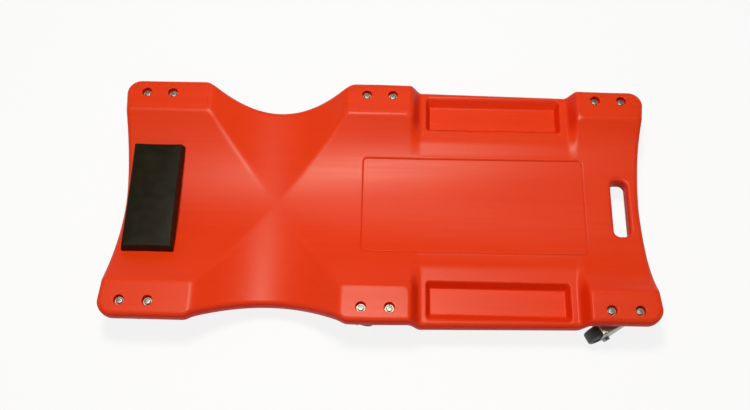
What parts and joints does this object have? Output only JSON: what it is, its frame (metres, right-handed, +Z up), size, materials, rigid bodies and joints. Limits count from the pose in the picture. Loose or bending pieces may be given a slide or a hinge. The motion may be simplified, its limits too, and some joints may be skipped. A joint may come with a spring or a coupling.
{
  "type": "mechanic creeper",
  "caption": "Low moulded deck with a narrow waist, side tool trays, a hand slot and a padded headrest, rolling on swivel casters under raised pads, for lying on to work under a vehicle.",
  "frame": {"origin": "on the floor, under the middle of the deck's length and width", "axes": "+X along the deck to the foot end with the hand slot, +Y to the left side of a person lying on it face up, +Z up"},
  "size_m": [1.016, 0.5034, 0.1145],
  "materials": {
    "red_polyethylene": "semi-gloss blow-moulded polyethylene with a fine grain",
    "black_vinyl": "smooth black vinyl with a slight sheen",
    "grey_foam": "open-cell foam",
    "hardboard": "raw hardboard",
    "zinc_plate": "dull zinc-plated pressed steel",
    "bright_zinc": "bright zinc-plated steel",
    "bearing_steel": "polished steel",
    "black_wheel": "hard black plastic tread and hub"
  },
  "bodies": {
    "deck_body": {"deck": "red_polyethylene", "headrest_cover": "black_vinyl", "headrest_foam": "grey_foam", "headrest_board": "hardboard", "headrest_screw_left": "bright_zinc", "headrest_screw_right": "bright_zinc", "caster_head_left_plate": "zinc_plate", "caster_head_left_ball_ring": "bearing_steel", "caster_head_left_kingpin": "bright_zinc", "caster_head_left_bolt_1": "bright_zinc", "caster_head_left_bolt_2": "bright_zinc", "caster_head_right_plate": "zinc_plate", "caster_head_right_ball_ring": "bearing_steel", "caster_head_right_kingpin": "bright_zinc", "caster_head_right_bolt_1": "bright_zinc", "caster_head_right_bolt_2": "bright_zinc", "caster_mid_left_plate": "zinc_plate", "caster_mid_left_ball_ring": "bearing_steel", "caster_mid_left_kingpin": "bright_zinc", "caster_mid_left_bolt_1": "bright_zinc", "caster_mid_left_bolt_2": "bright_zinc", "caster_mid_right_plate": "zinc_plate", "caster_mid_right_ball_ring": "bearing_steel", "caster_mid_right_kingpin": "bright_zinc", "caster_mid_right_bolt_1": "bright_zinc", "caster_mid_right_bolt_2": "bright_zinc", "caster_foot_left_plate": "zinc_plate", "caster_foot_left_ball_ring": "bearing_steel", "caster_foot_left_kingpin": "bright_zinc", "caster_foot_left_bolt_1": "bright_zinc", "caster_foot_left_bolt_2": "bright_zinc", "caster_foot_right_plate": "zinc_plate", "caster_foot_right_ball_ring": "bearing_steel", "caster_foot_right_kingpin": "bright_zinc", "caster_foot_right_bolt_1": "bright_zinc", "caster_foot_right_bolt_2": "bright_zinc"},
    "head_left_fork": {"caster_head_left_fork": "zinc_plate", "caster_head_left_axle": "bright_zinc", "caster_head_left_axle_nut": "bright_zinc"},
    "head_left_wheel": {"caster_head_left_wheel": "black_wheel"},
    "head_right_fork": {"caster_head_right_fork": "zinc_plate", "caster_head_right_axle": "bright_zinc", "caster_head_right_axle_nut": "bright_zinc"},
    "head_right_wheel": {"caster_head_right_wheel": "black_wheel"},
    "mid_left_fork": {"caster_mid_left_fork": "zinc_plate", "caster_mid_left_axle": "bright_zinc", "caster_mid_left_axle_nut": "bright_zinc"},
    "mid_left_wheel": {"caster_mid_left_wheel": "black_wheel"},
    "mid_right_fork": {"caster_mid_right_fork": "zinc_plate", "caster_mid_right_axle": "bright_zinc", "caster_mid_right_axle_nut": "bright_zinc"},
    "mid_right_wheel": {"caster_mid_right_wheel": "black_wheel"},
    "foot_left_fork": {"caster_foot_left_fork": "zinc_plate", "caster_foot_left_axle": "bright_zinc", "caster_foot_left_axle_nut": "bright_zinc"},
    "foot_left_wheel": {"caster_foot_left_wheel": "black_wheel"},
    "foot_right_fork": {"caster_foot_right_fork": "zinc_plate", "caster_foot_right_axle": "bright_zinc", "caster_foot_right_axle_nut": "bright_zinc"},
    "foot_right_wheel": {"caster_foot_right_wheel": "black_wheel"}
  },
  "joints": [
    {"name": "head_left_swivel", "type": "hinge", "parent": "deck_body", "child": "head_left_fork", "pos_m": [-0.442, 0.214, 0.07473], "axis": [0, 0, 1], "continuous": true},
    {"name": "head_left_roll", "type": "hinge", "parent": "head_left_fork", "child": "head_left_wheel", "pos_m": [-0.47123, 0.20098, 0.03148], "axis": [-0.4067, 0.9135, 0], "continuous": true},
    {"name": "head_right_swivel", "type": "hinge", "parent": "deck_body", "child": "head_right_fork", "pos_m": [-0.442, -0.214, 0.07473], "axis": [0, 0, 1], "continuous": true},
    {"name": "head_right_roll", "type": "hinge", "parent": "head_right_fork", "child": "head_right_wheel", "pos_m": [-0.47123, -0.20098, 0.03148], "axis": [0.4067, 0.9135, 0], "continuous": true},
    {"name": "mid_left_swivel", "type": "hinge", "parent": "deck_body", "child": "mid_left_fork", "pos_m": [-0.008, 0.2175, 0.07473], "axis": [0, 0, 1], "continuous": true},
    {"name": "mid_left_roll", "type": "hinge", "parent": "mid_left_fork", "child": "mid_left_wheel", "pos_m": [-0.03807, 0.20655, 0.03148], "axis": [-0.342, 0.9397, 0], "continuous": true},
    {"name": "mid_right_swivel", "type": "hinge", "parent": "deck_body", "child": "mid_right_fork", "pos_m": [-0.008, -0.2175, 0.07473], "axis": [0, 0, 1], "continuous": true},
    {"name": "mid_right_roll", "type": "hinge", "parent": "mid_right_fork", "child": "mid_right_wheel", "pos_m": [-0.03807, -0.20655, 0.03148], "axis": [0.342, 0.9397, 0], "continuous": true},
    {"name": "foot_left_swivel", "type": "hinge", "parent": "deck_body", "child": "foot_left_fork", "pos_m": [0.44, 0.214, 0.07473], "axis": [0, 0, 1], "continuous": true},
    {"name": "foot_left_roll", "type": "hinge", "parent": "foot_left_fork", "child": "foot_left_wheel", "pos_m": [0.41175, 0.22902, 0.03148], "axis": [0.4695, 0.8829, 0], "continuous": true},
    {"name": "foot_right_swivel", "type": "hinge", "parent": "deck_body", "child": "foot_right_fork", "pos_m": [0.44, -0.214, 0.07473], "axis": [0, 0, 1], "continuous": true},
    {"name": "foot_right_roll", "type": "hinge", "parent": "foot_right_fork", "child": "foot_right_wheel", "pos_m": [0.41175, -0.22902, 0.03148], "axis": [-0.4695, 0.8829, 0], "continuous": true}
  ]
}
